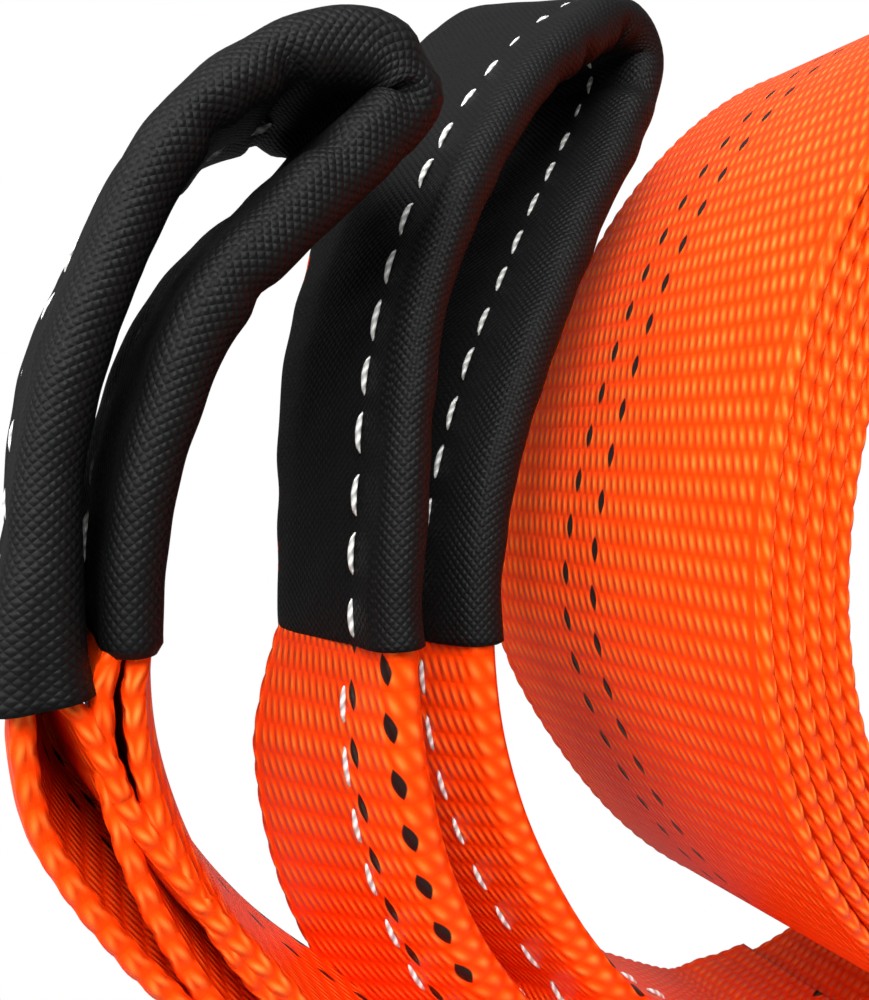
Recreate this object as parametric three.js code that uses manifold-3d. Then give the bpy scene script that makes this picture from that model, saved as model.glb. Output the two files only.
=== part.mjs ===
// A tow strap of flat woven webbing, wound into a roll that stands on its rim.
// Both ends leave the roll at the floor and rise into eyes that are folded and sleeved.
// Millimetres, +Z up. The origin is on the floor under the middle of the roll.
import * as THREE from "three";
import { mergeVertices } from "three/addons/utils/BufferGeometryUtils.js";
import Module from "manifold-3d";

// Webbing
const webbingWidth = 60;
const webbingThickness = 2.4;
const touchGap = 0.3;

// Roll
const turnCount = 6;
const turnPitch = 2.95;
const boreRadius = 82.3;
const rollRadius = boreRadius + turnCount * turnPitch;
const turnGrooveDepth = 1.6;
const turnGrooveWidth = 1.1;
const rollSegments = 90;

// Eyes, where the webbing is folded in half inside a woven sleeve
const foldedWidth = webbingWidth / 2;
const foldedThickness = 2 * webbingThickness;
const sleeveWall = 0.6;
const sleeveCorner = 0.75;
const sleeveWidth = foldedWidth + 2 * (touchGap + sleeveWall);
const sleeveThickness = foldedThickness + 2 * (touchGap + sleeveWall);
const foldSteps = 9;

// Sewing threads of the sleeves
const threadWidth = 1.1;
const threadThickness = 0.6;
const seamFromFold = 12;

// How finely a strap end is bent, in equal steps along it
const routeSteps = 120;

// Heights between which a strap end turns from square to the roll to its eye's own direction
const turnStartHeight = 20;
const turnEndHeight = 95;

const layerPitch = webbingThickness + touchGap;

// Routes of the two strap ends as [x, z] of the webbing's underside, from the roll to the eye's tip
// and back down to where the folded-back end lies on the first layer.
const leftEnd = {
  lying: [[-14, 0], [-27, 0], [-40, 0], [-53, 0], [-61, 0.25], [-74, 2.2], [-90, 6], [-110, 12.5], [-129, 22]],
  loop: [
    [-146.5, 34.5], [-161, 50], [-172, 68], [-180.5, 88], [-185.8, 104], [-187.6, 119], [-185.4, 131],
    [-182.4, 142], [-177.6, 153], [-172.2, 161.4], [-166, 168.2], [-158.8, 174.4], [-150.4, 179.4],
    [-142, 182.2], [-135.2, 182.4], [-131.4, 179], [-133.4, 174.4], [-140.6, 168.8], [-148, 163.6],
    [-155.4, 158.2], [-162, 151.4], [-167.6, 142.4], [-171.8, 133], [-175, 122], [-176, 110],
    [-173.2, 94], [-166.4, 77], [-156, 60], [-144.6, 45.4],
  ],
  yaw: 0,
  eyeOriginX: 0,
  eyeOriginY: 0,
  spliceEndX: -45,
};
const rightEnd = {
  lying: [[-28, 0], [-40, 0], [-53, 0], [-61, 0.25], [-74, 2.2], [-86, 5.2]],
  loop: [
    [-108, 20.6], [-121, 31], [-132.5, 46], [-141.5, 63], [-147.6, 80], [-150.6, 97], [-150.6, 112],
    [-148.4, 122], [-145.4, 131], [-141.6, 142], [-137, 152], [-131, 161.4], [-124.4, 169.6],
    [-113, 180], [-101, 188], [-91, 193], [-82, 196.8], [-75.4, 197.2], [-71.8, 193], [-74.6, 186],
    [-85.4, 174.2], [-96.4, 163.4], [-105.4, 154], [-114.4, 144.4], [-122, 134.4], [-128, 124.6],
    [-132.6, 114], [-135, 103], [-135.2, 90], [-132, 74], [-124.6, 56], [-114.4, 41],
  ],
  yaw: 18.7,
  eyeOriginX: -141.8,
  eyeOriginY: 5.6,
  spliceEndX: -60,
};

// Steps of each route where the sleeve begins and ends
const leftSleeve = { first: 46, last: 83 };
const rightSleeve = { first: 41, last: 93 };

const wasm = await Module();
wasm.setup();

// Moves a row of [x, z] points square to their own direction, upwards for a row that runs to the left
function offsetRow(row, distance) {
  return row.map(([x, z], index) => {
    const before = row[Math.max(index - 1, 0)];
    const after = row[Math.min(index + 1, row.length - 1)];
    const run = after[0] - before[0];
    const rise = after[1] - before[1];
    const length = Math.hypot(run, rise);
    return [x + (rise / length) * distance, z - (run / length) * distance];
  });
}

// One strap end as a curve, with the directions across its width and through its thickness
function makeRoute(end, stackHeight) {
  const outerLayer = offsetRow(end.lying, stackHeight + webbingThickness / 2);
  const innerLayer = offsetRow(end.lying, stackHeight + webbingThickness / 2 + layerPitch);
  const loop = end.loop.map(([x, z]) => [x, z + webbingThickness / 2]);
  const splice = innerLayer.filter(([x]) => x < end.spliceEndX).reverse();
  const tilt = Math.tan(THREE.MathUtils.degToRad(end.yaw));
  const turnAt = (z) => THREE.MathUtils.smoothstep(z, turnStartHeight, turnEndHeight);
  const points = [...outerLayer, ...loop, ...splice].map(([x, z]) => {
    const eyeY = end.eyeOriginY + (x - end.eyeOriginX) * tilt;
    return new THREE.Vector3(x, turnAt(z) * eyeY, z);
  });
  const curve = new THREE.CatmullRomCurve3(points, false, "centripetal");
  curve.arcLengthDivisions = 1600;
  return (share) => {
    const point = curve.getPointAt(share);
    const tangent = curve.getTangentAt(share);
    const yaw = THREE.MathUtils.degToRad(end.yaw) * turnAt(point.z);
    const width = new THREE.Vector3(Math.sin(yaw), -Math.cos(yaw), 0);
    width.addScaledVector(tangent, -width.dot(tangent)).normalize();
    const through = new THREE.Vector3().crossVectors(tangent, width);
    return { point, width, through };
  };
}

// Bends a straight bar of the section along a route, stretched across and through as sizeAt says
function bendAlong(section, route, first, last, sizeAt) {
  const steps = last - first;
  const bar = new THREE.ExtrudeGeometry(section, { depth: steps, steps, bevelEnabled: false });
  const position = bar.attributes.position;
  for (let index = 0; index < position.count; index += 1) {
    const share = (first + position.getZ(index)) / routeSteps;
    const { point, width, through } = route(share);
    const size = sizeAt(share);
    point.addScaledVector(width, position.getX(index) * size.across + size.shift);
    point.addScaledVector(through, position.getY(index) * size.through + size.lift);
    position.setXYZ(index, point.x, point.y, point.z);
  }
  bar.computeVertexNormals();
  return bar;
}

function rectangle(width, height, Kind = THREE.Shape) {
  const x = width / 2;
  const y = height / 2;
  const corners = [[-x, -y], [x, -y], [x, y], [-x, y]];
  return new Kind(corners.map(([across, through]) => new THREE.Vector2(across, through)));
}

// A rectangle with its corners cut off, as cloth drawn round a flat band has
function softCornered(width, height, corner) {
  const x = width / 2;
  const y = height / 2;
  const points = [
    [x - corner, -y], [x, corner - y], [x, y - corner], [x - corner, y],
    [corner - x, y], [-x, y - corner], [-x, corner - y], [corner - x, -y],
  ];
  return new THREE.Shape(points.map(([across, through]) => new THREE.Vector2(across, through)));
}

function toManifold(geometry) {
  const bare = geometry.clone();
  bare.deleteAttribute("normal");
  bare.deleteAttribute("uv");
  const merged = mergeVertices(bare, 1e-4);
  return new wasm.Manifold(new wasm.Mesh({
    numProp: 3,
    vertProperties: new Float32Array(merged.attributes.position.array),
    triVerts: new Uint32Array(merged.index.array),
  }));
}

function toGeometry(manifold) {
  const mesh = manifold.getMesh();
  const geometry = new THREE.BufferGeometry();
  geometry.setAttribute("position", new THREE.BufferAttribute(new Float32Array(mesh.vertProperties), 3));
  geometry.setIndex(new THREE.BufferAttribute(new Uint32Array(mesh.triVerts), 1));
  geometry.computeVertexNormals();
  return geometry;
}

// The roll: a turned ring whose ends show its turns as crests with grooves between them
function makeRoll() {
  const half = webbingWidth / 2;
  const nearEnd = [];
  const farEnd = [];
  for (let turn = 0; turn < turnCount; turn += 1) {
    const inner = boreRadius + turn * turnPitch + turnGrooveWidth / 2;
    const outer = boreRadius + (turn + 1) * turnPitch - turnGrooveWidth / 2;
    const groove = boreRadius + (turn + 1) * turnPitch;
    const endRow = [[inner, half], [outer, half], [groove, half - turnGrooveDepth]];
    endRow.forEach(([radius, reach]) => {
      nearEnd.push(new THREE.Vector2(radius, -reach));
      farEnd.push(new THREE.Vector2(radius, reach));
    });
  }
  const bore = half - turnGrooveDepth;
  const profile = [new THREE.Vector2(boreRadius, -bore), ...nearEnd, ...farEnd.reverse(),
    new THREE.Vector2(boreRadius, bore), new THREE.Vector2(boreRadius, -bore)];
  return new THREE.LatheGeometry(profile, rollSegments);
}

// Room that the roll keeps free, a little larger than the roll itself
function makeRollClearance() {
  const blank = new THREE.CylinderGeometry(
    rollRadius + touchGap, rollRadius + touchGap, 2 * webbingWidth, rollSegments,
  );
  blank.translate(0, 0, rollRadius);
  return blank;
}

// One strap end: flat webbing off the roll, folded in half round the eye, and flat again in the splice
function makeStrapEnd(route, sleeve) {
  const sizeAt = (share) => {
    const step = share * routeSteps;
    const opening = THREE.MathUtils.smoothstep(step, sleeve.first - foldSteps, sleeve.first);
    const closing = THREE.MathUtils.smoothstep(step, sleeve.last, sleeve.last + foldSteps);
    const folded = opening - closing;
    return {
      across: THREE.MathUtils.lerp(webbingWidth, foldedWidth, folded),
      through: THREE.MathUtils.lerp(webbingThickness, foldedThickness, folded),
      shift: 0,
      lift: 0,
    };
  };
  const band = bendAlong(rectangle(1, 1), route, 0, routeSteps, sizeAt);
  return toGeometry(toManifold(band).subtract(toManifold(makeRollClearance())));
}

// The sleeve: a flat tube round the folded webbing, open at both ends
function makeSleeve(route, sleeve) {
  const section = softCornered(sleeveWidth, sleeveThickness, sleeveCorner);
  section.holes.push(rectangle(foldedWidth + 2 * touchGap, foldedThickness + 2 * touchGap, THREE.Path));
  const sizeAt = () => ({ across: 1, through: 1, shift: 0, lift: 0 });
  return bendAlong(section, route, sleeve.first, sleeve.last, sizeAt);
}

const webbingMaterial = new THREE.MeshStandardMaterial({ color: 0xf0500f, roughness: 0.45, metalness: 0 });
const sleeveMaterial = new THREE.MeshStandardMaterial({ color: 0x1b1c1c, roughness: 0.7, metalness: 0 });

function addPiece(parent, name, geometry, material) {
  const piece = new THREE.Mesh(geometry, material);
  piece.name = name;
  parent.add(piece);
  return piece;
}

const strap = new THREE.Group();
const roll = addPiece(strap, "webbing_roll", makeRoll(), webbingMaterial);
roll.position.z = rollRadius;

const leftRoute = makeRoute(leftEnd, 0);
const rightRoute = makeRoute(rightEnd, 2 * layerPitch);
addPiece(strap, "left_webbing_end", makeStrapEnd(leftRoute, leftSleeve), webbingMaterial);
addPiece(strap, "right_webbing_end", makeStrapEnd(rightRoute, rightSleeve), webbingMaterial);
addPiece(strap, "left_eye_sleeve", makeSleeve(leftRoute, leftSleeve), sleeveMaterial);
addPiece(strap, "right_eye_sleeve", makeSleeve(rightRoute, rightSleeve), sleeveMaterial);

// The origin goes to the middle of the footprint
const footprint = new THREE.Box3().setFromObject(strap).getCenter(new THREE.Vector3());
strap.position.set(-footprint.x, -footprint.y, 0);

export default strap;
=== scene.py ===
"""A tow strap of woven webbing: a standing roll, and two ends that rise into folded, sleeved eyes.

Shapes are worked out in millimetres from the roll's centre line and the floor, and turned into metres
in place. "Across" runs over the webbing's width, positive towards the near side, "along" runs down its
length, and "through" goes through its thickness, towards the inside of the roll or eye.
"""

import math

import bpy
import numpy as np
from mathutils import Matrix, Vector


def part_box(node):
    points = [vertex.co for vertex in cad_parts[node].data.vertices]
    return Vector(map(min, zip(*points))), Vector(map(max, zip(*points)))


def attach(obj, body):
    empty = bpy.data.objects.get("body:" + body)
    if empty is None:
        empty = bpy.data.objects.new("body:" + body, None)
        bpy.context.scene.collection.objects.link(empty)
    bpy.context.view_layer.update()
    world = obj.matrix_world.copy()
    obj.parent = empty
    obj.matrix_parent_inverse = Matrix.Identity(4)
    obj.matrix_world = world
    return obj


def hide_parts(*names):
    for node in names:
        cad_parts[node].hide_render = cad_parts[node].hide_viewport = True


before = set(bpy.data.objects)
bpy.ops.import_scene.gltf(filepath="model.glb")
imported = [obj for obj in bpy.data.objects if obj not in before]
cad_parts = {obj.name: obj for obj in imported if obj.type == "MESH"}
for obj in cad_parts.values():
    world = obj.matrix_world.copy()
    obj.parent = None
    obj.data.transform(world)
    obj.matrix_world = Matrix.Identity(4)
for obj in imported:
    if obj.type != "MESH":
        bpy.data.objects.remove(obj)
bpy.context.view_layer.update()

MM = 0.001
roll_low, roll_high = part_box("webbing_roll")
ROLL_CENTRE = (roll_low + roll_high) / 2
ROLL_RADIUS = (roll_high.z - roll_low.z) / 2 / MM

# Webbing
WIDTH = (roll_high.y - roll_low.y) / MM
HALF_WIDTH = WIDTH / 2
THICKNESS = 2.4
HALF_THICKNESS = THICKNESS / 2
COLUMN_PITCH = 1.59
ROW_PITCH = 3.7
EDGE_RADIUS = 1.35
EDGE_BUMP = 0.3
EDGE_POINTS = 7
FACE_HALF_WIDTH = HALF_WIDTH - EDGE_RADIUS
STATION_STEP = 0.7

# Marker yarns: place across, and how far the dashes are shifted, in shares of their pitch
MARKER_LINES = ((-8.7, 0.0), (-2.1, 0.43))
PLAIN_STRIP = 28.0

# Roll
TURN_PITCH = 2.95
TURNS = 3
LAYER_PITCH = 2.7
ROLL_SAMPLES = 2400
ROLL_FACE_POINTS = 5

# How the wound turns leave a true spiral: height in millimetres, then angle and spread in degrees
PUSHED_OUT = (7.6, 187, 36)
FLARED = (7.0, 178, 14)
FLARE_LAYERS = 2.5

# Where inner turns hang loose: depth in millimetres, and angles over which that begins and ends
LOOSE_DEPTH = 1.9
LOOSE_START = (10, 60)
LOOSE_END = (118, 150)

# Folds of the eyes: length of webbing that bends where it is shut and where it is open
FOLD_ARC = 3.9
OPEN_ARC = 24
BEND_SHARE = 0.62
FOLDED_WIDTH = HALF_WIDTH
LIP = 6.0
FINE_STEP = 0.25
FOLD_REACH = 9
FOLD_FACE_STEP = 0.7
FLAT_FACE_STEP = 1.7

# Heights between which an eye turns to its own yaw, twists, and stands up
TURN_HEIGHTS = (20, 95)
TWIST_HEIGHTS = (30, 95)
STANDING_HEIGHTS = (30, 110)

# Sleeves
SLEEVE_HALF_WIDTH = FOLDED_WIDTH / 2 + 1.3
SLEEVE_HALF_THICKNESS = 3.3
SLEEVE_WALL = 0.7
SLEEVE_STEP = 1.0
SLEEVE_LINING_RINGS = 46

# Columns of an end's sleeve rows
EXTRA = 1
SHIFT = 2
ROLL = 3

# Sewing
STITCH_PITCH = 8.0
STITCH_LENGTH = 5.7
FIRST_STITCH = 1.2
THREAD_RADIUS = 0.42
THREAD_SIDES = 10
THREAD_STEPS = 9


def smoothstep(value, low, high):
    share = np.clip((np.asarray(value, float) - low) / (high - low), 0, 1)
    return share * share * (3 - 2 * share)


def bell(value, centre, spread):
    return np.exp(-(((value - centre) / spread) ** 2))


def unit(vectors):
    return vectors / np.linalg.norm(vectors, axis=-1, keepdims=True)


def lengths_along(points):
    """The distance of each point along a polyline."""
    return np.r_[0, np.cumsum(np.linalg.norm(np.diff(points, axis=0), axis=1))]


def read_columns(at, places, rows):
    """The columns of rows kept at rising places, read at other places."""
    return np.stack([np.interp(at, places, column) for column in rows.T], 1)


def nearest(places, at):
    """The index of the place that lies nearest."""
    return int(round(np.interp(at, places, np.arange(len(places)))))


# Paths


def resample(points, step):
    """Points at equal steps along a polyline, and their distances."""
    lengths = lengths_along(points)
    at = np.linspace(0, lengths[-1], int(round(lengths[-1] / step)) + 1)
    return read_columns(at, lengths, points), at


def smooth_path(points, samples=40):
    """A centripetal Catmull-Rom curve through the points, as a fine polyline."""
    p = np.asarray(points, float)
    p = np.vstack([2 * p[0] - p[1], p, 2 * p[-1] - p[-2]])
    u = np.linspace(0, 1, samples, endpoint=False)[:, None]
    rows = []
    for a, b, c, d in zip(p, p[1:], p[2:], p[3:]):
        ab, bc, cd = (math.sqrt(np.linalg.norm(q - r)) for q, r in ((b, a), (c, b), (d, c)))
        leaving = bc * ((b - a) / ab - (c - a) / (ab + bc) + (c - b) / bc)
        arriving = bc * ((c - b) / bc - (d - b) / (bc + cd) + (d - c) / cd)
        rows.append(
            b * (2 * u**3 - 3 * u**2 + 1)
            + leaving * (u**3 - 2 * u**2 + u)
            + c * (3 * u**2 - 2 * u**3)
            + arriving * (u**3 - u**2)
        )
    return np.vstack([*rows, p[-2:-1]])


def square_to(path, across):
    """Directions across and through for each point of a path, made square to it."""
    along = unit(np.gradient(path, axis=0))
    across = unit(across - along * np.sum(along * across, 1, keepdims=True))
    return across, np.cross(along, across)


# Meshes


def place(points):
    """From millimetres about the roll's centre line and the floor to metres in the frame."""
    return points * MM + np.array([ROLL_CENTRE.x, ROLL_CENTRE.y, 0.0])


def add_mesh(name, points, faces, uv):
    """A smooth object of points in millimetres, with one UV pair for each corner of its faces."""
    mesh = bpy.data.meshes.new(name)
    mesh.from_pydata(place(points).tolist(), [], faces)
    layer = mesh.uv_layers.new(name="UVMap")
    layer.data.foreach_set("uv", np.asarray(uv, np.float32).ravel())
    mesh.shade_smooth()
    piece = bpy.data.objects.new(name, mesh)
    bpy.context.scene.collection.objects.link(piece)
    return face_outwards(piece)


def face_outwards(piece):
    """Turns a closed mesh inside out if its faces point in."""
    mesh = piece.data
    mesh.calc_loop_triangles()
    points = np.zeros(len(mesh.vertices) * 3)
    mesh.vertices.foreach_get("co", points)
    points = points.reshape(-1, 3)
    corners = np.zeros(len(mesh.loop_triangles) * 3, int)
    mesh.loop_triangles.foreach_get("vertices", corners)
    a, b, c = points[corners.reshape(-1, 3)].transpose(1, 0, 2)
    if np.einsum("ij,ij->", a, np.cross(b, c)) < 0:
        mesh.flip_normals()
    return piece


def grid_mesh(name, rings, around, along, closed_along=False):
    """A mesh of rings, each closed on itself; around and along become its UV map, in millimetres."""
    count, size = rings.shape[:2]
    index = np.arange(count * size).reshape(count, size)
    here = index if closed_along else index[:-1]
    after = np.roll(index, -1, axis=0) if closed_along else index[1:]
    quads = np.stack([here, np.roll(here, -1, 1), np.roll(after, -1, 1), after], -1).reshape(-1, 4)
    faces = quads.tolist()
    u_low = around[:, :-1]
    u_high = around[:, 1:]
    v = np.broadcast_to(np.asarray(along)[:, None], (count, size))
    rows = np.arange(len(here))
    next_rows = (rows + 1) % count
    corners = ((u_low, rows), (u_high, rows), (u_high, next_rows), (u_low, next_rows))
    uv = np.stack([np.stack([u[row], v[row]], -1) for u, row in corners], 2).reshape(-1, 2)
    if not closed_along:
        faces += [index[0][::-1].tolist(), index[-1].tolist()]
        first_end = np.stack([u_low[0], v[0]], -1)[::-1]
        last_end = np.stack([u_low[-1], v[-1]], -1)
        uv = np.vstack([uv, first_end, last_end])
    return add_mesh(name, rings.reshape(-1, 3), faces, uv)


# Webbing


def band_ring(faces):
    """The webbing's section: places across and through, and which of them lie on its rounded edges."""
    turn = np.linspace(math.pi / 2, -math.pi / 2, EDGE_POINTS + 2)[1:-1]
    reach = FACE_HALF_WIDTH + EDGE_RADIUS * np.cos(turn)
    rise = EDGE_RADIUS * np.sin(turn)
    face = np.full(len(faces), HALF_THICKNESS)
    across = np.r_[faces, reach, faces[::-1], -reach]
    through = np.r_[face, rise, -face, -rise]
    on_edge = np.tile(np.r_[np.zeros(len(faces)), np.ones(EDGE_POINTS)], 2)
    return across, through, on_edge.astype(bool)


def rope_edge(along, angle):
    """How far the selvedge's slanting loops stand out, from 0 to 1."""
    slant = 1.3
    roundness = 0.6
    phase = along / ROW_PITCH + angle / (2 * math.pi) * slant
    return np.abs(np.sin(math.pi * phase)) ** roundness


def build_band(name, surface, distances, faces, turned=1):
    """Webbing on a middle surface, which gives points, normals and directions for places across.

    Turned is -1 to mirror the weave, which puts its marker yarns on the near half.
    """
    mean_loop = 0.6
    across, through, on_edge = band_ring(faces)
    nearest_face = np.clip(across, -FACE_HALF_WIDTH, FACE_HALF_WIDTH)
    points, normals, sideways = surface(nearest_face)
    reach = across - nearest_face
    angle = np.arctan2(through, np.abs(reach) + 1e-6)
    swell = rope_edge(distances[:, None], angle[None, :] + np.sign(across)) - mean_loop
    grow = 1 + np.where(on_edge, EDGE_BUMP * swell / EDGE_RADIUS, 0.0)
    rings = (
        points
        + sideways * (reach * grow)[..., None]
        + normals * (through * np.where(on_edge, grow, 1.0))[..., None]
    )
    arc = FACE_HALF_WIDTH + EDGE_RADIUS * (math.pi / 2 - np.abs(angle))
    around = np.where(on_edge, np.sign(across) * arc, across)
    around = turned * np.broadcast_to(np.r_[around, around[:1]], (len(distances), len(across) + 1))
    return grid_mesh(name, rings, around, distances)


# The roll


def bulge(angle, side, depth):
    """How far the wound turns stand out of a true spiral.

    Angle is in degrees, side runs from 0 near to 1 far, and depth counts the layers outside.
    """
    push_height, *push_place = PUSHED_OUT
    flare_height, *flare_place = FLARED
    pushed_out = push_height * bell(angle, *push_place)
    flared = flare_height * bell(angle, *flare_place) * side**2 * np.exp(-depth / FLARE_LAYERS)
    loose = smoothstep(angle, *LOOSE_START) * (1 - smoothstep(angle, *LOOSE_END))
    return pushed_out + flared - LOOSE_DEPTH * loose * np.clip(depth, 0, 1)


def roll_surface(first_radius, start_depth):
    """The near and far edge of one of the two bands wound together, from the floor inwards.

    Also gives their distances. Start depth counts the layers over the band's start; less than 0 is none.
    """
    turns = np.linspace(0, TURNS, ROLL_SAMPLES)
    radius = first_radius - 2 * TURN_PITCH * turns
    angle = (270 + 360 * turns) % 360
    depth = np.maximum(start_depth + 2 * turns, 0)

    def at(side):
        r = radius + bulge(angle, side, depth)
        a = np.radians(angle)
        y = np.full(len(r), (2 * side - 1) * HALF_WIDTH)
        return np.stack([r * np.cos(a), y, ROLL_RADIUS + r * np.sin(a)], 1)

    lengths = lengths_along(at(0.5))
    distances = np.arange(0, lengths[-1], STATION_STEP)
    near, far = (read_columns(distances, lengths, at(side)) for side in (0.0, 1.0))
    return near, far, distances


def build_roll_band(name, first_radius, start_depth):
    near, far, distances = roll_surface(first_radius, start_depth)
    sideways = unit(near - far)
    along = unit(np.gradient((near + far) / 2, axis=0))
    normals = unit(np.cross(along, sideways))

    def surface(across):
        share = (across / WIDTH + 0.5)[None, :, None]
        points = far[:, None] * (1 - share) + near[:, None] * share
        shape = points.shape
        return points, np.broadcast_to(normals[:, None], shape), np.broadcast_to(sideways[:, None], shape)

    faces = np.linspace(-FACE_HALF_WIDTH, FACE_HALF_WIDTH, ROLL_FACE_POINTS)
    return build_band(name, surface, -distances, faces)


# The two strap ends, in millimetres and degrees:
# lying and loop: [x, z] of the webbing's underside, from the roll to the eye's tip and back down
# rise: how much higher the end lies than the lying line
# yaw: turn of the eye's plane; twist: how much less its outer leg is turned
# eye_x and eye_y: a point that the eye's plane passes through
# seam_from_fold: the stitch line's place from the fold, on the sleeve's outer face and on its inner face
# splice_end: where the end that comes back down stops
# hem_heights: the sleeve's hems, on the outer leg and on the inner leg
# fold_side: the side that the fold lies on, 1 near and -1 far
# outer_leg and inner_leg, in rows: distance outside the hem; opening between the halves; curl of the base
# half's lip and of the free half's; tilt of the base half, outwards
# sleeve_form, in rows: share of the sleeve; extra half thickness; shift towards the inside of the eye; roll
LEFT_END = {
    "lying": [[0, 0], [-14, 0], [-27, 0], [-40, 0], [-53, 0], [-61, 0.25], [-74, 2.2], [-90, 6],
              [-110, 12.5], [-129, 22]],
    "loop": [[-146.5, 34.5], [-161, 50], [-172, 68], [-180.5, 88], [-185.8, 104], [-187.6, 119],
             [-185.4, 131], [-182.4, 142], [-177.6, 153], [-172.2, 161.4], [-166, 168.2], [-158.8, 174.4],
             [-150.4, 179.4], [-142, 182.2], [-135.2, 182.4], [-131.4, 179], [-133.4, 174.4],
             [-140.6, 168.8], [-148, 163.6], [-155.4, 158.2], [-162, 151.4], [-167.6, 142.4],
             [-171.8, 133], [-175, 122], [-176, 110], [-173.2, 94], [-166.4, 77], [-156, 60],
             [-144.6, 45.4]],
    "rise": 0.0,
    "yaw": 0.0,
    "twist": 1.5,
    "eye_x": 0.0,
    "eye_y": 0.0,
    "seam_from_fold": (5.5, 11.5),
    "splice_end": -45,
    "hem_heights": (120, 122),
    "fold_side": -1,
    "outer_leg": [(-3, 0, 0, 0, 0), (3, 7, -15, -20, 4), (10, 11, -20, -25, 6), (22, 12, -20, -25, 6),
                  (40, 12, -15, -20, 6), (55, 24, -10, -15, 6), (68, 90, 0, -5, 4), (80, 150, 0, 0, 0),
                  (92, 180, 0, 0, 0)],
    "inner_leg": [(-3, 0, 0, 0, 0), (3, 4, 35, 0, 0), (12, 5, 40, 0, 0), (30, 6, 30, 5, 0),
                  (50, 7, 20, 5, -2), (75, 12, 10, 0, -6), (95, 50, 5, 0, -4), (115, 140, 0, 0, 0),
                  (130, 180, 0, 0, 0)],
    "sleeve_form": [(-0.5, 0, 9, 0), (-0.3, 0, 5, 0), (-0.18, 0, 1.5, 0), (-0.08, 0, 0.4, 0),
                    (0, 1.8, 1.4, 0), (0.1, 0, 2.2, 0), (0.28, -0.2, 1.2, 0), (0.36, -0.2, -1.2, 0),
                    (0.42, -0.2, -2.2, 0), (0.47, 0.1, -2.2, 0), (0.52, 1.2, -0.8, 0), (0.6, 0.6, 2, 0),
                    (0.7, 0.5, 2.4, 0), (0.88, -0.1, 2, 0), (1, -0.5, 1.4, 0), (1.1, 0, 2.5, 0),
                    (1.3, 0, 5, 0), (1.5, 0, 7, 0)],
}
RIGHT_END = {
    "lying": [[0, -2.45], [-14, -2.2], [-28, -0.8], [-40, 0], [-53, 0], [-61, 0.25], [-74, 2.2],
              [-86, 5.2]],
    "loop": [[-108, 20.6], [-121, 31], [-132.5, 46], [-141.5, 63], [-147.6, 80], [-150.6, 97],
             [-150.6, 112], [-148.4, 122], [-145.4, 131], [-141.6, 142], [-137, 152], [-131, 161.4],
             [-124.4, 169.6], [-113, 180], [-101, 188], [-91, 193], [-82, 196.8], [-75.4, 197.2],
             [-71.8, 193], [-74.6, 186], [-85.4, 174.2], [-96.4, 163.4], [-105.4, 154], [-114.4, 144.4],
             [-122, 134.4], [-128, 124.6], [-132.6, 114], [-135, 103], [-135.2, 90], [-132, 74],
             [-124.6, 56], [-114.4, 41]],
    "rise": 2 * LAYER_PITCH,
    "yaw": 18.7,
    "twist": 9.0,
    "eye_x": -141.8,
    "eye_y": 5.6,
    "seam_from_fold": (9.2, 11.5),
    "splice_end": -60,
    "hem_heights": (113, 108),
    "fold_side": 1,
    "outer_leg": [(-3, 0, 0, 0, 0), (3, 4, 0, 0, 0), (15, 14, 0, 0, 0), (35, 20, 0, 0, 0),
                  (60, 26, 0, 0, 0), (80, 90, 0, 0, 0), (98, 165, 0, 0, 0), (108, 180, 0, 0, 0)],
    "inner_leg": [(-8, 0, 0, 0, 0), (0, 3, 0, 0, 0), (30, 10, 0, 0, 3), (60, 14, 0, 0, 3),
                  (85, 60, 0, 0, 0), (110, 130, 0, 0, 0), (130, 180, 0, 0, 0)],
    "sleeve_form": [(-0.35, 0, -3, 0), (-0.2, 0, -1, 0), (-0.08, -0.5, 2.2, 0), (0, -0.5, 4, 0),
                    (0.2, -0.4, 3, 3), (0.35, -0.2, 1.6, 9), (0.44, 0.1, 0.6, 17), (0.5, 0.3, 0.3, 18),
                    (0.54, 0.2, 0.3, 6), (0.58, 0, 0.3, -8), (0.68, -0.2, 0.3, -11),
                    (0.85, -0.3, 0.3, -5), (1, -0.4, 0.3, 0)],
}


def offset_row(row, distance):
    """Moves [x, z] points square to their direction, upwards for a row that runs to the left."""
    p = np.asarray(row, float)
    way = unit(np.vstack([p[1] - p[0], p[2:] - p[:-2], p[-1] - p[-2]]))
    return p + distance * np.stack([way[:, 1], -way[:, 0]], 1)


def hems(end, path, distances):
    """Distances along the path where the sleeve begins on the way up and ends on the way down."""
    top = int(np.argmax(path[:, 2]))
    first_height, last_height = end["hem_heights"]
    first = np.interp(first_height, path[:top, 2], distances[:top])
    last = np.interp(-last_height, -path[top:, 2], distances[top:])
    return first, last


def sleeve_form(end, share, column):
    """One column of an end's sleeve rows, read at shares of the sleeve's length."""
    rows = np.asarray(end["sleeve_form"], float)
    return np.interp(share, rows[:, 0], rows[:, column])


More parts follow.
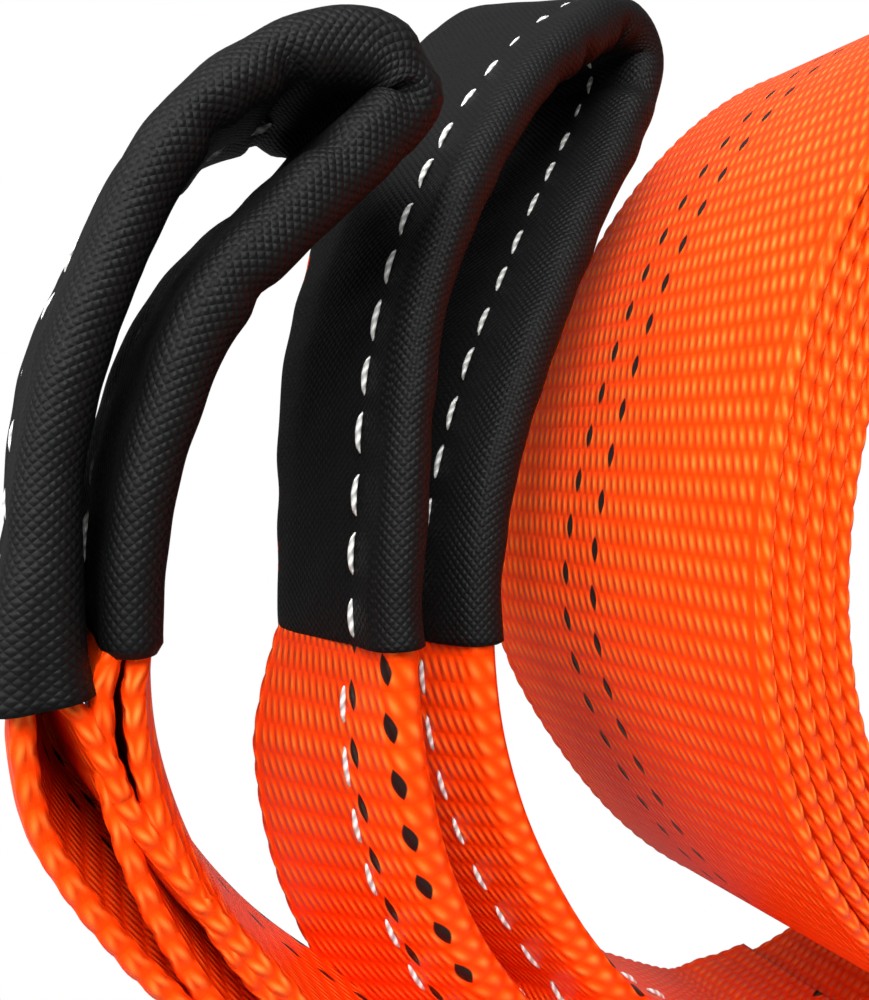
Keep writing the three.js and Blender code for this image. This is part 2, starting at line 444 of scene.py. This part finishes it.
def end_path(end):
    """One strap end's middle line from the roll to the splice's end.

    Gives its points, their distances, the directions across, and the distances of the two hems.
    """
    outer_height = end["rise"] + HALF_THICKNESS
    outer = offset_row(end["lying"], outer_height)
    inner = offset_row(end["lying"], outer_height + LAYER_PITCH)
    splice = inner[inner[:, 0] < end["splice_end"]][::-1]
    loop = np.asarray(end["loop"], float) + [0, HALF_THICKNESS]
    x, z = np.vstack([outer, loop, splice]).T
    full_yaw = math.radians(end["yaw"])
    eye_y = end["eye_y"] + (x - end["eye_x"]) * math.tan(full_yaw)
    guides = np.stack([x, smoothstep(z, *TURN_HEIGHTS) * eye_y, z], 1)
    path, distances = resample(smooth_path(guides), STATION_STEP)
    height = path[:, 2]

    first, last = hems(end, path, distances)
    share = (distances - first) / (last - first)
    on_outer_leg = smoothstep(-share, -0.5, 0)
    yaw = full_yaw * smoothstep(height, *TURN_HEIGHTS)
    yaw = yaw - math.radians(end["twist"]) * on_outer_leg * smoothstep(height, *TWIST_HEIGHTS)
    level = np.stack([np.sin(yaw), -np.cos(yaw), np.zeros(len(yaw))], 1)
    across, through = square_to(path, level)
    shift = sleeve_form(end, share, SHIFT) * smoothstep(height, *STANDING_HEIGHTS)
    path = path + through * shift[:, None]

    # The sleeve rolls about its near edge
    roll = np.radians(sleeve_form(end, share, ROLL))[:, None]
    rolled = across * np.cos(roll) + through * np.sin(roll)
    path = path + (across - rolled) * SLEEVE_HALF_WIDTH
    return path, distances, rolled, first, last


def fold_state(end, distances, is_outer, first, last):
    """In radians: opening between the halves, curl of the base and free lips, tilt of the base half."""
    outside = np.where(is_outer, first - distances, distances - last)
    outer, inner = (
        read_columns(outside, rows[:, 0], rows[:, 1:]).T
        for rows in (np.asarray(end[leg], float) for leg in ("outer_leg", "inner_leg"))
    )
    return np.radians(np.where(is_outer, outer, inner))


def end_surface(end):
    """The folded middle surface of a strap end, and what is needed to lay things on it."""
    path, distances, across, first, last = end_path(end)
    across, through = square_to(path, across)
    is_outer = distances < (first + last) / 2
    state = fold_state(end, distances, is_outer, first, last)
    opening, base_lip, free_lip, tilt = (row[:, None] for row in state)

    # Worked out for a fold on the far side, with the free half at negative places across
    fine = np.arange(-HALF_WIDTH, HALF_WIDTH + 0.01, FINE_STEP)
    openness = opening / math.pi
    half_arc = (FOLD_ARC + (OPEN_ARC - FOLD_ARC) * openness) * BEND_SHARE
    bend = 1 - smoothstep(fine[None, :], -half_arc, half_arc)
    heading = -tilt - (math.pi - opening) * bend
    heading = heading + base_lip * np.clip((fine - HALF_WIDTH + LIP) / LIP, 0, 1)
    heading = heading + free_lip * np.clip((-fine - HALF_WIDTH + LIP) / LIP, 0, 1)
    w = np.cumsum(np.cos(heading) * FINE_STEP, 1)
    n = np.cumsum(np.sin(heading) * FINE_STEP, 1)
    base_edge = -int(LIP / FINE_STEP) - 1
    reach = FOLDED_WIDTH / 2 + (HALF_WIDTH - FOLDED_WIDTH / 2) * smoothstep(openness, 0, 1)
    w = w - w[:, base_edge][:, None] + (reach - LIP)
    n = n - n[:, [len(fine) // 2]]
    normal_w, normal_n = -np.sin(heading), np.cos(heading)
    side_w, side_n = np.cos(heading), np.sin(heading)

    # On the outer leg the outside half swings free, on the inner leg the inside half, which is the same one
    outer_leg = is_outer[:, None]
    w = np.where(outer_leg, w, w[:, ::-1])
    n = np.where(outer_leg, -n, n[:, ::-1])
    normal_w = np.where(outer_leg, -normal_w, -normal_w[:, ::-1])
    normal_n = np.where(outer_leg, normal_n, -normal_n[:, ::-1])
    side_w = np.where(outer_leg, side_w, -side_w[:, ::-1])
    side_n = np.where(outer_leg, -side_n, -side_n[:, ::-1])
    if end["fold_side"] > 0:
        w, n = -w[:, ::-1], n[:, ::-1]
        normal_w, normal_n = -normal_w[:, ::-1], normal_n[:, ::-1]
        side_w, side_n = side_w[:, ::-1], -side_n[:, ::-1]

    def lift(a, b):
        return across[:, None] * a[..., None] + through[:, None] * b[..., None]

    return {
        "path": path, "distances": distances, "across": across, "through": through,
        "fine": fine, "points": path[:, None] + lift(w, n), "normals": lift(normal_w, normal_n),
        "sideways": lift(side_w, side_n), "first": first, "last": last,
    }


def read_across(table, fine, across):
    """Values of a table over fine places across, read at other places across."""
    at = np.interp(across, fine, np.arange(len(fine)))
    low = np.clip(at.astype(int), 0, len(fine) - 2)
    share = (at - low)[None, :, None]
    return table[:, low] * (1 - share) + table[:, low + 1] * share


def end_faces():
    """Places across one face of a strap end, close together where it folds."""
    fold = np.arange(-FOLD_REACH, FOLD_REACH, FOLD_FACE_STEP)
    steps = int((FACE_HALF_WIDTH - FOLD_REACH) / FLAT_FACE_STEP)
    far = np.linspace(-FACE_HALF_WIDTH, -FOLD_REACH, steps, endpoint=False)
    near = np.linspace(FOLD_REACH, FACE_HALF_WIDTH, steps)
    return np.r_[far, fold, near]


def build_end(name, made, turned):
    def surface(across):
        keys = ("points", "normals", "sideways")
        return tuple(read_across(made[key], made["fine"], across) for key in keys)

    return build_band(name, surface, made["distances"], end_faces(), turned)


# Sleeves


def sleeve_ring():
    """A flat tube's section, from the near edge: places across and through, and outward directions."""
    edge_points = 13
    face_points = 19
    corner = SLEEVE_HALF_THICKNESS
    flat = SLEEVE_HALF_WIDTH - corner
    arc = np.linspace(-math.pi / 2, math.pi / 2, edge_points)
    run = np.linspace(flat, -flat, face_points + 2)[1:-1]
    near = np.stack([flat + corner * np.cos(arc), corner * np.sin(arc), np.cos(arc), np.sin(arc)], 1)
    top = np.stack([run, np.full(len(run), corner), 0 * run, np.ones(len(run))], 1)
    return np.vstack([near, top, -near, -top])


def waves(around, along, length, seed):
    """Smooth unevenness from a few waves, the same on every run; about -1 to 1."""
    rng = np.random.default_rng(seed)
    wave_count = 7
    usual_peak = 4
    total = 0
    for _ in range(wave_count):
        turn = rng.uniform(0, 2 * math.pi)
        scale = length * rng.uniform(0.6, 1.6)
        phase = rng.uniform(0, 2 * math.pi)
        way = around * math.cos(turn) + along * math.sin(turn)
        total = total + np.sin(way * 2 * math.pi / scale + phase)
    return total / usual_peak


def sleeve_swell(end, made, at, perimeter, creases, seed):
    """How far the cloth stands out of the plain tube, at places along and round it, in millimetres."""
    w, n, _, out_n = sleeve_ring().T
    first, last = made["first"], made["last"]
    length = last - first

    # Unevenness, calmer at the hems, which are turned in and so thicker
    around = perimeter[None, :]
    fullness = 0.15
    broad = 0.3 * waves(around, at[:, None], 26, seed)
    narrow = 0.16 * waves(around, at[:, None], 9, seed + 1)
    hem_reach = 6
    near_hem = np.exp(-np.minimum(at - first, last - at)[:, None] / hem_reach)
    swell = (fullness + broad + narrow) * (1 - 0.5 * near_hem) + 0.35 * near_hem

    # The groove of the seam, and the channel that it closes off towards the fold
    seam = end["fold_side"] * (SLEEVE_HALF_WIDTH - np.where(n < 0, *end["seam_from_fold"]))
    swell = swell - 0.15 * bell(w, seam, 1.9) * np.abs(out_n)
    swell = swell + 0.5 * bell((w - seam) * end["fold_side"], 6, 4)

    extra = sleeve_form(end, (at - first) / length, EXTRA)
    swell = swell + extra[:, None] * np.abs(out_n)

    # A crease is a groove between two low swells
    for share, side, depth, slant, spread in creases:
        centre = first + share * length + slant * w
        ridge = ((at[:, None] - centre) / spread) ** 2
        profile = 0.55 * np.exp(-ridge / 5) - np.exp(-ridge)
        swell = swell + depth * profile * smoothstep(n * side, -2, 3)
    return swell


def build_sleeve(name, end, made, creases, seed):
    """A cloth tube round the folded webbing: rings outside from hem to hem, and back on the lining."""
    distances = made["distances"]
    first, last = made["first"], made["last"]
    out = np.arange(first, last, SLEEVE_STEP)
    back = np.linspace(last, first, SLEEVE_LINING_RINGS)
    at = np.r_[out, back]
    inside = np.r_[np.zeros(len(out)), np.ones(len(back))][:, None]

    ring = sleeve_ring()
    w, n, out_w, out_n = ring.T
    perimeter = lengths_along(np.vstack([ring, ring[:1]])[:, :2])
    swell = sleeve_swell(end, made, at, perimeter[:-1], creases, seed) - inside * SLEEVE_WALL

    index = np.interp(at, distances, np.arange(len(distances)))
    low = np.clip(index.astype(int), 0, len(distances) - 2)
    share = (index - low)[:, None]
    path, across, through = (
        (made[key][low] * (1 - share) + made[key][low + 1] * share)[:, None]
        for key in ("path", "across", "through")
    )
    rings = path + across * (w + swell * out_w)[..., None] + through * (n + swell * out_n)[..., None]
    around = np.broadcast_to(perimeter, (len(at), len(perimeter)))
    return grid_mesh(name, rings, around, at, closed_along=True)


# Stitches


def stitch_mesh(name, stitches):
    """Many short arched threads as one mesh: each stitch is (start, end, outward direction)."""
    share = np.linspace(0, 1, THREAD_STEPS)
    angle = np.linspace(0, 2 * math.pi, THREAD_SIDES, endpoint=False)
    rise = (0.85 * np.sin(math.pi * share) ** 0.55 - 0.55) * THREAD_RADIUS * 1.6
    size = THREAD_RADIUS * np.clip(np.sin(math.pi * share), 0.05, 1) ** 0.42
    columns = range(THREAD_SIDES)
    last_row = THREAD_STEPS - 1
    vertices = []
    faces = []
    uv = []
    for start, end, up in stitches:
        along = unit(end - start)
        side = unit(np.cross(along, up))
        lift = np.cross(side, along)
        centre = start + (end - start) * share[:, None] + lift * rise[:, None]
        ring = np.cos(angle)[None, :, None] * side + np.sin(angle)[None, :, None] * lift
        points = centre[:, None] + ring * size[:, None, None]
        base = len(vertices)
        vertices += points.reshape(-1, 3).tolist()
        v = share * np.linalg.norm(end - start)
        for row in range(last_row):
            here = base + row * THREAD_SIDES
            after = here + THREAD_SIDES
            for column in columns:
                beside = (column + 1) % THREAD_SIDES
                faces.append([here + column, here + beside, after + beside, after + column])
                u_low = column / THREAD_SIDES
                u_high = (column + 1) / THREAD_SIDES
                uv += [(u_low, v[row]), (u_high, v[row]), (u_high, v[row + 1]), (u_low, v[row + 1])]
        faces.append([base + column for column in columns][::-1])
        faces.append([base + last_row * THREAD_SIDES + column for column in columns])
        uv += [(0.5, v[0])] * THREAD_SIDES + [(0.5, v[-1])] * THREAD_SIDES
    return add_mesh(name, np.array(vertices), faces, uv)


def stitch_starts(low, high):
    return np.arange(low, high - STITCH_LENGTH, STITCH_PITCH)


def sleeve_seam(end, made):
    """Stitch places on both faces of a sleeve, half a pitch apart."""
    first, last = made["first"], made["last"]
    outer, inner = end["seam_from_fold"]
    thread_height = SLEEVE_HALF_THICKNESS - 0.1
    stitches = []
    for face, shift, from_fold in ((-1, 0, outer), (1, STITCH_PITCH / 2, inner)):
        seam = end["fold_side"] * (SLEEVE_HALF_WIDTH - from_fold)
        for at in stitch_starts(first + FIRST_STITCH + shift, last):
            ends = []
            for place_along in (at, at + STITCH_LENGTH):
                row = nearest(made["distances"], place_along)
                out = made["through"][row] * face
                ends.append(made["path"][row] + made["across"][row] * seam + out * thread_height)
            stitches.append((*ends, out))
    return stitches


def webbing_seam(end, made, start_out, stop_out):
    """Stitch places on the bare webbing below the hems, on the base half and on the free half."""
    first, last = made["first"], made["last"]
    side = end["fold_side"]
    from_middle = end["seam_from_fold"][1] - 1
    stitches = []
    for low, high in ((first - stop_out, first - start_out), (last + start_out, last + stop_out)):
        for half, shift in ((-side, 0), (side, STITCH_PITCH / 2)):
            column = nearest(made["fine"], half * from_middle)
            for at in stitch_starts(low + shift, high):
                ends = []
                for place_along in (at, at + STITCH_LENGTH):
                    row = nearest(made["distances"], place_along)
                    out = made["normals"][row, column]
                    ends.append(made["points"][row, column] + out * HALF_THICKNESS)
                stitches.append((*ends, out))
    return stitches


# Materials


class Nodes:
    """Short calls for building a material's nodes."""

    def __init__(self, name):
        self.material = bpy.data.materials.new(name)
        self.material.use_nodes = True
        self.tree = self.material.node_tree
        self.shader = self.tree.nodes["Principled BSDF"]

    def link(self, value, socket):
        if isinstance(value, bpy.types.NodeSocket):
            self.tree.links.new(value, socket)
        else:
            socket.default_value = value

    def math(self, operation, first, second=0.0, third=0.0, clamp=False):
        node = self.tree.nodes.new("ShaderNodeMath")
        node.operation = operation
        node.use_clamp = clamp
        for socket, value in zip(node.inputs, (first, second, third)):
            self.link(value, socket)
        return node.outputs[0]

    def add(self, first, second):
        return self.math("ADD", first, second)

    def minus(self, first, second):
        return self.math("SUBTRACT", first, second)

    def times(self, first, second):
        return self.math("MULTIPLY", first, second)

    def scaled(self, value, factor, offset, clamp=False):
        return self.math("MULTIPLY_ADD", value, factor, offset, clamp=clamp)

    def absolute(self, value):
        return self.math("ABSOLUTE", value)

    def cosine(self, value):
        """A cosine over whole steps of value, between 0 and 1."""
        return self.scaled(self.math("COSINE", self.times(value, 2 * math.pi)), 0.5, 0.5)

    def position(self):
        """The UV map's places round or across and along, in millimetres."""
        node = self.tree.nodes.new("ShaderNodeUVMap")
        node.uv_map = "UVMap"
        parts = self.tree.nodes.new("ShaderNodeSeparateXYZ")
        self.tree.links.new(node.outputs[0], parts.inputs[0])
        return parts.outputs[0], parts.outputs[1]

    def noise(self, across, along, scale, detail=2.0):
        joined = self.tree.nodes.new("ShaderNodeCombineXYZ")
        self.link(across, joined.inputs[0])
        self.link(along, joined.inputs[1])
        node = self.tree.nodes.new("ShaderNodeTexNoise")
        self.tree.links.new(joined.outputs[0], node.inputs["Vector"])
        node.inputs["Scale"].default_value = scale
        node.inputs["Detail"].default_value = detail
        return node.outputs["Fac"]

    def mix(self, share, first, second):
        node = self.tree.nodes.new("ShaderNodeMix")
        node.data_type = "RGBA"
        self.link(share, node.inputs["Factor"])
        self.link(first, node.inputs["A"])
        self.link(second, node.inputs["B"])
        return node.outputs["Result"]

    def surface(self, colour, roughness, height, distance):
        """Joins the shader's colour and roughness, and a bump of a height in metres."""
        self.link(colour, self.shader.inputs["Base Color"])
        self.link(roughness, self.shader.inputs["Roughness"])
        node = self.tree.nodes.new("ShaderNodeBump")
        node.inputs["Strength"].default_value = 1.0
        node.inputs["Distance"].default_value = distance
        self.link(height, node.inputs["Height"])
        self.link(node.outputs[0], self.shader.inputs["Normal"])


def webbing_weave(n, across, along):
    """Height of columns of slanting floats in rows, flat on a plain strip near each edge, and a mask for
    painted highlight streaks on the float tops.
    """
    in_row = n.minus(n.math("FRACT", n.times(along, 1 / ROW_PITCH)), 0.5)
    lean = n.times(in_row, 0.95)
    columns = n.times(n.add(across, lean), 1 / COLUMN_PITCH)
    from_strip = n.absolute(n.minus(n.absolute(across), PLAIN_STRIP))
    woven = n.scaled(from_strip, 1.4, -0.1, clamp=True)
    ridge = n.math("POWER", n.cosine(columns), 0.7)
    float_height = n.scaled(n.math("POWER", n.cosine(in_row), 0.6), 0.85, 0.15)
    weave = n.times(n.times(ridge, float_height), woven)
    return weave, n.times(n.math("POWER", weave, 3.0), woven)


def marker_yarn(n, across, along, place_across, phase):
    """Where a marker yarn's slanting, pointed dashes show, one to every second row."""
    dash = n.math("FRACT", n.scaled(along, 0.5 / ROW_PITCH, phase))
    shown = n.math("SINE", n.times(n.math("MINIMUM", n.times(dash, 1.65), 1.0), math.pi))
    half_width = n.times(shown, 0.8)
    middle = n.scaled(dash, -0.9, place_across + 0.27)
    off = n.absolute(n.minus(across, middle))
    return n.math("MULTIPLY", n.minus(half_width, off), 6.0, clamp=True)


def webbing_material():
    """Orange webbing with painted highlight streaks on its floats, painted shade in the grooves between them,
    and two dashed black marker yarns.
    """
    # The darkest orange is painted shade in the grooves and darker tone at random, the palest is a painted
    # highlight
    deep = (0.86, 0.035, 0.001, 1.0)
    bright = (0.97, 0.085, 0.003, 1.0)
    painted_highlight_orange = (1.0, 0.22, 0.04, 1.0)
    marker_black = (0.012, 0.008, 0.008, 1.0)
    n = Nodes("orange_webbing")
    across, along = n.position()
    weave, painted_highlight_mask = webbing_weave(n, across, along)
    fibres = n.noise(n.times(across, 7.0), n.times(along, 0.8), 1.0)
    uneven = n.noise(across, along, 0.12)
    first, second = (marker_yarn(n, across, along, *line) for line in MARKER_LINES)
    # Painted shade: darker orange in the grooves between floats, mixed with uneven tone at random
    painted_light_and_tone = n.math("MULTIPLY_ADD", weave, 0.75, n.times(uneven, 0.35), clamp=True)
    # Painted highlight: pale orange streaks on the float tops, stronger or weaker at random
    painted_glint = n.times(painted_highlight_mask, n.scaled(uneven, 1.6, -0.2, clamp=True))
    orange = n.mix(painted_glint, n.mix(painted_light_and_tone, deep, bright), painted_highlight_orange)
    colour = n.mix(n.math("MAXIMUM", first, second), orange, marker_black)
    roughness = n.scaled(fibres, 0.2, 0.22)
    n.surface(colour, roughness, n.add(weave, n.times(fibres, 0.22)), 0.3 * MM)
    n.shader.inputs["Specular IOR Level"].default_value = 0.22
    n.shader.inputs["Specular Tint"].default_value = (1.0, 0.35, 0.1, 1.0)
    return n.material


def sleeve_material():
    """Black plain-woven cloth laid on the bias, with small bright specks painted into its colour as
    highlights where threads catch the light.
    """
    dark = (0.0006, 0.0006, 0.0007, 1.0)
    light = (0.003, 0.0033, 0.0033, 1.0)
    pitch = 0.85
    n = Nodes("black_sleeve_cloth")
    across, along = n.position()
    bias = 1 / (pitch * math.sqrt(2))
    first = n.times(n.add(across, along), bias)
    second = n.times(n.minus(across, along), bias)
    rise, fall = (n.math("COSINE", n.times(value, math.pi)) for value in (first, second))
    over = n.absolute(n.times(rise, fall))
    speck = n.noise(across, along, 1.7, detail=3.0)
    # Painted highlight: bright specks at random, on a tone that is lighter in the weave's pattern
    painted_light_and_tone = n.math("MULTIPLY_ADD", over, 0.6, n.times(speck, 0.5), clamp=True)
    roughness = n.scaled(speck, -0.5, 0.85)
    n.surface(n.mix(painted_light_and_tone, dark, light), roughness, n.scaled(speck, 0.7, over), 0.13 * MM)
    n.shader.inputs["Specular IOR Level"].default_value = 0.16
    return n.material


def thread_material():
    """White twisted sewing thread."""
    shaded = (0.42, 0.42, 0.40, 1.0)
    white = (0.86, 0.86, 0.83, 1.0)
    n = Nodes("white_thread")
    across, along = n.position()
    twist = n.cosine(n.add(across, n.times(along, 0.55)))
    fibres = n.noise(n.times(across, 20.0), along, 1.0)
    roughness = n.scaled(fibres, 0.2, 0.4)
    n.surface(n.mix(twist, shaded, white), roughness, n.scaled(fibres, 0.3, twist), 0.2 * MM)
    return n.material


# Camera, fitted to the photograph: millimetres from the roll's centre, directions, degrees and pixels
CAMERA_FROM_ROLL = Vector((-188.757, -115.818, 47.459)) * MM
CAMERA_FORWARD = Vector((0.4406, 0.8861, -0.1437))
CAMERA_RIGHT = Vector((0.8954, -0.4452, 0.0))
CAMERA_ROLL = -9.74
FOCAL_PIXELS = 925.011
LONG_SIDE_PIXELS = 1000
SENSOR = 36


def make_camera():
    data = bpy.data.cameras.new("camera")
    data.sensor_width = SENSOR
    data.lens = FOCAL_PIXELS / LONG_SIDE_PIXELS * SENSOR
    data.clip_start = 0.01
    camera = bpy.data.objects.new("camera", data)
    bpy.context.scene.collection.objects.link(camera)
    forward = CAMERA_FORWARD.normalized()
    level_right = CAMERA_RIGHT.normalized()
    level_up = level_right.cross(forward)
    roll = math.radians(CAMERA_ROLL)
    right = level_right * math.cos(roll) + level_up * math.sin(roll)
    up = right.cross(forward)
    turn = Matrix((right, up, -forward)).transposed().to_4x4()
    camera.matrix_world = Matrix.Translation(ROLL_CENTRE + CAMERA_FROM_ROLL) @ turn
    bpy.context.scene.camera = camera


# Stage
FLOOR_HALF_SIZE = 4.0
FLOOR_DROP = 0.0004
WORLD_LIGHT = 0.24
WORLD_SEEN = 1.0

# Lights: name, kind, place, direction towards the light, energy, size
LIGHTS = (
    ("key_light", "AREA", (-0.17, -0.36, 0.5), (-0.35, -0.65, 0.8), 4.5, 0.3),
    ("sky_light", "SUN", (0.0, 0.0, 1.0), (-0.35, -0.2, 1.0), 1.15, 60),
    ("side_softbox", "AREA", (-0.7, -0.1, 0.5), (-0.7, -0.1, 0.4), 5.0, 0.5),
)


def floor_material():
    """A grey floor for the light that falls on it, and plain white where the camera sees it."""
    paint = bpy.data.materials.new("pale_floor")
    paint.use_nodes = True
    tree = paint.node_tree
    shader = tree.nodes["Principled BSDF"]
    shader.inputs["Base Color"].default_value = (0.3, 0.3, 0.3, 1)
    shader.inputs["Roughness"].default_value = 0.9
    shader.inputs["Specular IOR Level"].default_value = 0.1
    white_glow = tree.nodes.new("ShaderNodeEmission")
    seen = tree.nodes.new("ShaderNodeLightPath")
    either = tree.nodes.new("ShaderNodeMixShader")
    tree.links.new(seen.outputs["Is Camera Ray"], either.inputs[0])
    tree.links.new(shader.outputs[0], either.inputs[1])
    tree.links.new(white_glow.outputs[0], either.inputs[2])
    tree.links.new(either.outputs[0], tree.nodes["Material Output"].inputs["Surface"])
    return paint


def make_floor():
    size = FLOOR_HALF_SIZE
    mesh = bpy.data.meshes.new("floor")
    corners = [(-size, -size, 0), (size, -size, 0), (size, size, 0), (-size, size, 0)]
    mesh.from_pydata(corners, [], [(0, 1, 2, 3)])
    floor = bpy.data.objects.new("floor", mesh)
    floor.location.z = -FLOOR_DROP
    bpy.context.scene.collection.objects.link(floor)
    floor.data.materials.append(floor_material())


def make_world():
    """White where the camera sees it, and weaker as light on the strap."""
    world = bpy.data.worlds.new("studio")
    bpy.context.scene.world = world
    world.use_nodes = True
    tree = world.node_tree
    background = tree.nodes["Background"]
    background.inputs["Color"].default_value = (1, 1, 1, 1)
    rays = tree.nodes.new("ShaderNodeLightPath")
    strength = tree.nodes.new("ShaderNodeMapRange")
    strength.inputs["To Min"].default_value = WORLD_LIGHT
    strength.inputs["To Max"].default_value = WORLD_SEEN
    tree.links.new(rays.outputs["Is Camera Ray"], strength.inputs["Value"])
    tree.links.new(strength.outputs[0], background.inputs["Strength"])


def add_light(name, kind, place_at, direction, energy, size):
    """A soft light; a sun's size is its angle in degrees, an area light's its side in metres."""
    data = bpy.data.lights.new(name, kind)
    data.energy = energy
    if kind == "SUN":
        data.angle = math.radians(size)
    else:
        data.size = size
    light = bpy.data.objects.new(name, data)
    light.location = place_at
    light.rotation_euler = Vector(direction).to_track_quat("Z", "Y").to_euler()
    bpy.context.scene.collection.objects.link(light)


# Building

make_camera()
make_floor()
make_world()
for light in LIGHTS:
    add_light(*light)
bpy.context.scene.view_settings.view_transform = "Standard"

orange = webbing_material()
black = sleeve_material()
white = thread_material()

left = end_surface(LEFT_END)
right = end_surface(RIGHT_END)
outer_radius = ROLL_RADIUS - HALF_THICKNESS
inner_radius = outer_radius - TURN_PITCH

# How far below the hems the seam runs on over the bare webbing, from and to
LEFT_RUN_ON = (2, 22)
RIGHT_RUN_ON = (2, 95)

# Rows: share of the sleeve, side (1 inside the eye), depth, slant, spread
LEFT_CREASES = [(0.38, 1, 1.6, 0.1, 2.2), (0.47, 1, 2.0, -0.15, 2.0), (0.53, -1, 1.3, 0.2, 1.6),
                (0.56, 1, 2.2, 0.1, 1.8), (0.66, 1, 1.2, -0.2, 2.4), (0.74, -1, 1.0, 0.15, 2.2)]
RIGHT_CREASES = [(0.43, 1, 1.8, 0.1, 2.2), (0.5, 1, 2.2, -0.1, 2.0), (0.57, 1, 1.5, 0.12, 2.4)]

outer_band = build_roll_band("roll_outer_webbing", outer_radius, start_depth=-1)
inner_band = build_roll_band("roll_inner_webbing", inner_radius, start_depth=1)
left_end = build_end("left_end_webbing", left, turned=1)
right_end = build_end("right_end_webbing", right, turned=-1)
left_sleeve = build_sleeve("left_sleeve_cloth", LEFT_END, left, LEFT_CREASES, seed=3)
right_sleeve = build_sleeve("right_sleeve_cloth", RIGHT_END, right, RIGHT_CREASES, seed=8)
left_stitches = sleeve_seam(LEFT_END, left) + webbing_seam(LEFT_END, left, *LEFT_RUN_ON)
right_stitches = sleeve_seam(RIGHT_END, right) + webbing_seam(RIGHT_END, right, *RIGHT_RUN_ON)
left_thread = stitch_mesh("left_seam_thread", left_stitches)
right_thread = stitch_mesh("right_seam_thread", right_stitches)

# Each piece with its material, its slot and the solids that it stands for
pieces = [
    (outer_band, orange, "webbing", ["webbing_roll"]),
    (inner_band, orange, "webbing", ["webbing_roll"]),
    (left_end, orange, "webbing", ["left_webbing_end"]),
    (right_end, orange, "webbing", ["right_webbing_end"]),
    (left_sleeve, black, "sleeve", ["left_eye_sleeve"]),
    (right_sleeve, black, "sleeve", ["right_eye_sleeve"]),
    (left_thread, white, None, []),
    (right_thread, white, None, []),
]
for piece, material, slot, nodes in pieces:
    piece.data.materials.append(material)
    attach(piece, "root")
    if nodes:
        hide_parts(*nodes)
